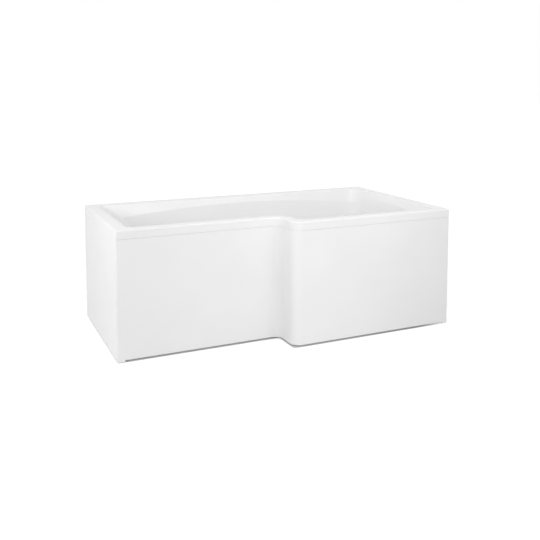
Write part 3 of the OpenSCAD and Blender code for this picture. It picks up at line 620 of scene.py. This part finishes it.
def floor_finish():
    """White floor: it is seen lifted to white, but not below the bath, and keeps the bath's shadow.
    Below the bath the shade is partly painted: the shadow itself is rendered, but a plan with soft
    fades sets where it shows dark. Its patches take light from the foot of both ends. From below it
    isn't there."""
    finish = Finish("studio floor", Roughness=0.9, Specular_IOR_Level=0.0)
    place = finish.node("ShaderNodeTexCoord").outputs["Object"]
    across = finish.node("ShaderNodeSeparateXYZ")
    finish.link(place, across.inputs["Vector"])
    x, y = across.outputs["X"], across.outputs["Y"]

    def patch(tone, middle):
        away = finish.node("ShaderNodeVectorMath", operation="DISTANCE")
        away.inputs[1].default_value = middle
        finish.link(place, away.inputs[0])
        return finish.step(away.outputs["Value"], PATCH_SPREAD, tone, FLOOR_TONE)

    def behind(edge_x, edge_y):
        return finish.work_out("MULTIPLY", finish.work_out("GREATER_THAN", x, edge_x),
            finish.work_out("GREATER_THAN", y, edge_y))

    tone = finish.work_out("MINIMUM", patch(*PATCHES[0]), patch(*PATCHES[1]))
    finish.feed("Base Color", tone)
    # Painted shade: the bath's plan on the floor, faded out at the open end and back, where the
    # floor's lift to white is held back
    shade_plan = finish.work_out("MAXIMUM", behind(-HALF_LENGTH, NARROW_FRONT_Y),
        behind(STEP_X, WIDE_FRONT_Y))
    shade_fade = finish.work_out("MULTIPLY", finish.step(x, OPEN_END, 1, 0),
        finish.step(y, OPEN_BACK, 1, 0))
    seen = finish.span(finish.work_out("MULTIPLY", shade_plan, shade_fade), 0, LIFT_IN_SHADE_BELOW_BATH)
    finish.link(finish.work_out("SUBTRACT", FLOOR_WHITE, tone), seen.node.inputs["To Min"])
    finish.shader.inputs["Emission Color"].default_value = (1, 1, 1, 1)
    lift = finish.work_out("MULTIPLY", sees_background(finish.tree), seen)
    finish.feed("Emission Strength", lift)

    turned = finish.node("ShaderNodeNewGeometry").outputs["Backfacing"]
    camera = finish.node("ShaderNodeLightPath").outputs["Is Camera Ray"]
    see_through = finish.node("ShaderNodeMixShader")
    finish.link(finish.work_out("MULTIPLY", turned, camera), see_through.inputs["Fac"])
    finish.link(finish.shader.outputs["BSDF"], see_through.inputs[1])
    finish.link(finish.node("ShaderNodeBsdfTransparent").outputs["BSDF"], see_through.inputs[2])
    surface = finish.tree.nodes["Material Output"].inputs["Surface"]
    finish.link(see_through.outputs["Shader"], surface)
    return finish.material


def add_floor():
    bm = bmesh.new()
    bmesh.ops.create_grid(bm, x_segments=1, y_segments=1, size=FLOOR_HALF)
    mesh = bpy.data.meshes.new("floor")
    bm.to_mesh(mesh)
    bm.free()
    mesh.materials.append(floor_finish())
    floor = bpy.data.objects.new("floor", mesh)
    floor.location.z = -FLOOR_DROP
    bpy.context.scene.collection.objects.link(floor)


# Light of the room: the same from all round, and more from the left and the front
ROUND_LIGHT = 0.595
SIDE_LIGHT = (0.34, 0.51, 0)
BACKGROUND = 1


def add_world():
    """A white room lit more from the left and the front, plain white where it is seen."""
    world = bpy.data.worlds.new("studio")
    bpy.context.scene.world = world
    world.use_nodes = True
    tree = world.node_tree
    sky = tree.nodes["Background"]
    sky.inputs["Color"].default_value = (1, 1, 1, 1)
    way = tree.nodes.new("ShaderNodeTexCoord").outputs["Generated"]
    towards = (-1, -1, 0)
    for operation, value, out in (("MULTIPLY", towards, "Vector"), ("MAXIMUM", (0, 0, 0), "Vector"),
            ("DOT_PRODUCT", SIDE_LIGHT, "Value")):
        step = tree.nodes.new("ShaderNodeVectorMath")
        step.operation = operation
        step.inputs[1].default_value = value
        tree.links.new(way, step.inputs[0])
        way = step.outputs[out]
    total = tree.nodes.new("ShaderNodeMath")
    total.inputs[1].default_value = ROUND_LIGHT
    tree.links.new(way, total.inputs[0])
    seen = tree.nodes.new("ShaderNodeMapRange")
    seen.inputs["To Max"].default_value = BACKGROUND
    tree.links.new(total.outputs["Value"], seen.inputs["To Min"])
    tree.links.new(sees_background(tree), seen.inputs["Value"])
    tree.links.new(seen.outputs["Result"], sky.inputs["Strength"])


def add_lamp(name, place, aim, size, power, mirrored=True, spread=180):
    """A soft lamp, narrowed to a beam by its spread in degrees."""
    data = bpy.data.lights.new(name, "AREA")
    data.shape = "RECTANGLE"
    data.size, data.size_y = size
    data.energy = power
    data.spread = math.radians(spread)
    lamp = bpy.data.objects.new(name, data)
    lamp.location = place
    lamp.rotation_mode = "QUATERNION"
    lamp.rotation_quaternion = (Vector(aim) - Vector(place)).to_track_quat("-Z", "Y")
    lamp.visible_camera = False
    lamp.visible_glossy = mirrored
    bpy.context.scene.collection.objects.link(lamp)


add_camera()
add_floor()
add_world()
add_lamp("left", (-1.55, -0.3, 0.85), (-0.8, -0.1, 0.75), (0.8, 0.3), 2.6, mirrored=False)
add_lamp("near front", (0.15, -1.45, 1.0), (0.1, -0.4, 0.45), (0.9, 0.5), 3.0)
add_lamp("top front", (0.1, -1.2, 2.0), (0.1, 0.1, 0.4), (1.6, 0.8), 3.0)
add_lamp("well", (-2.2, -0.8, 1.45), (0.72, 0.2, 0.48), (0.5, 0.3), 0.12, spread=24)
add_lamp("step", (-1.9, -1.0, 0.8), (-0.045, -0.36, 0.25), (0.3, 0.5), 0.03, mirrored=False,
    spread=24)

for name, node in NODES.items():
    node.data.materials.clear()
    node.data.materials.append(finish_of(name))

PANEL_EDGE, TIMBER_EDGE, STEEL_EDGE = 1.0 * MM, 1.5 * MM, 0.5 * MM

tub()
for name in ("front_panel", "end_panel"):
    eased(name, PANEL_EDGE, segments=3)
for name in NODES:
    if SLOT_OF[name] == "timber":
        eased(name, TIMBER_EDGE)
for name in ("bath_end_bearer", "shower_end_bearer", "wall_brackets", "centre_foot_bracket"):
    eased(name, STEEL_EDGE)
for name in NODES:
    if name.endswith("_stud"):
        threaded_stud(name)
ribbed_hose()

bpy.context.scene.view_settings.view_transform = "Standard"
